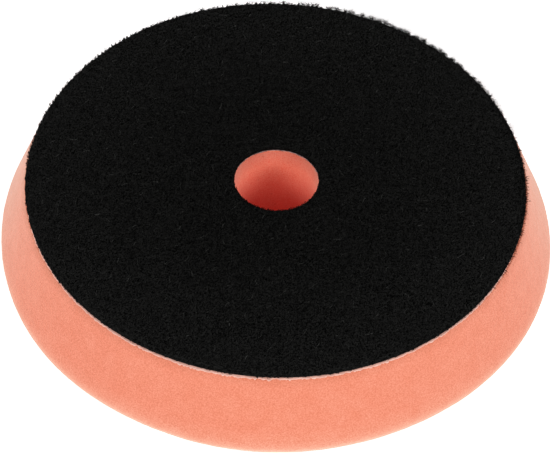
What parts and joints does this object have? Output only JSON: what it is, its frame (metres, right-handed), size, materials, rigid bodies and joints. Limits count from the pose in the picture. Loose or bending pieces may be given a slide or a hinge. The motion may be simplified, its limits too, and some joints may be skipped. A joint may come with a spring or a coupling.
{
  "type": "polishing pad",
  "caption": "Round foam polishing pad with slanting sides, a hook-and-loop backing on top and a centre hole right through.",
  "frame": {"origin": "middle of the flat working face, on the pad's spin axis; the pad lies on its working face", "axes": "+Z along the spin axis, from the working face up to the loop backing; the pad is round, so X and Y are free"},
  "size_m": [0.167, 0.167, 0.03],
  "materials": {
    "foam": "open-cell foam, fine matt pores",
    "film": "thin satin hot-melt film",
    "loop": "brushed black loop pile, very matt"
  },
  "bodies": {
    "root": {"foam_body": "foam", "bond_film": "film", "loop_backing": "loop"}
  },
  "joints": []
}
